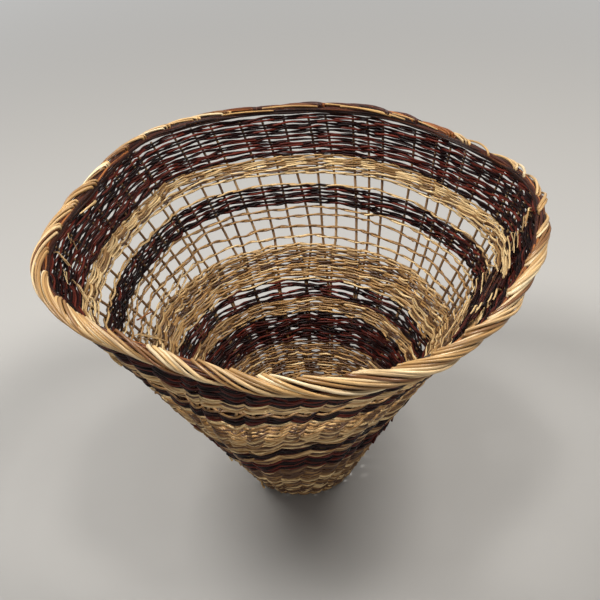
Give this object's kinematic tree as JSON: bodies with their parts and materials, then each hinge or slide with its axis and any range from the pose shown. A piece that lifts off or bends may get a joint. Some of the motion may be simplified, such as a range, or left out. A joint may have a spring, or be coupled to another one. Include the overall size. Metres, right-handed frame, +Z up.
{
  "type": "burden basket",
  "caption": "Flaring wickerwork burden basket with pale and dark woven bands, open lattice rows and a rope-twisted willow border.",
  "frame": {"origin": "middle of the underside of the base, under the middle of the bounding box", "axes": "+Z up along the basket's height; the side that faces the viewer in the picture is -Y, +X to its right"},
  "size_m": [0.5311, 0.524, 0.3816],
  "materials": {
    "peeled_rod": "peeled willow rod, dry and matt",
    "pale_weft": "pale weaving rods, aged straw colour",
    "dark_weft": "dark red-brown unpeeled weaving rods, slight gloss",
    "red_core": "orange-brown buff rod",
    "border_willow": "pale peeled willow, satin"
  },
  "bodies": {
    "root": {"base_round_lower": "pale_weft", "base_round_upper": "pale_weft", "stake_rod_01": "peeled_rod", "stake_rod_02": "peeled_rod", "stake_rod_03": "peeled_rod", "stake_rod_04": "peeled_rod", "stake_rod_05": "peeled_rod", "stake_rod_06": "peeled_rod", "stake_rod_07": "peeled_rod", "stake_rod_08": "peeled_rod", "stake_rod_09": "peeled_rod", "stake_rod_10": "peeled_rod", "stake_rod_11": "peeled_rod", "stake_rod_12": "peeled_rod", "stake_rod_13": "peeled_rod", "stake_rod_14": "peeled_rod", "stake_rod_15": "peeled_rod", "stake_rod_16": "peeled_rod", "stake_rod_17": "peeled_rod", "stake_rod_18": "peeled_rod", "stake_rod_19": "peeled_rod", "stake_rod_20": "peeled_rod", "stake_rod_21": "peeled_rod", "stake_rod_22": "peeled_rod", "stake_rod_23": "peeled_rod", "stake_rod_24": "peeled_rod", "stake_rod_25": "peeled_rod", "stake_rod_26": "peeled_rod", "stake_rod_27": "peeled_rod", "stake_rod_28": "peeled_rod", "foot_weave_1": "pale_weft", "foot_weave_2": "pale_weft", "lower_weave_pale": "pale_weft", "lower_weave_dark_1": "dark_weft", "lower_weave_dark_2": "dark_weft", "middle_weave_pale": "pale_weft", "dark_line_lower": "dark_weft", "dark_line_upper": "dark_weft", "broad_weave_pale_1": "pale_weft", "broad_weave_pale_2": "pale_weft", "lattice_row_1": "pale_weft", "lattice_row_2": "pale_weft", "lattice_row_3": "pale_weft", "dark_band_lower_edge": "pale_weft", "dark_band": "dark_weft", "dark_band_upper_edge": "pale_weft", "upper_weave_pale_1": "pale_weft", "upper_weave_pale_2": "pale_weft", "rim_weave_dark_1": "dark_weft", "rim_weave_dark_2": "dark_weft", "rim_wale": "red_core", "border_strand_1": "border_willow", "border_strand_2": "border_willow", "border_strand_3": "border_willow", "border_strand_4": "border_willow"}
  },
  "joints": []
}
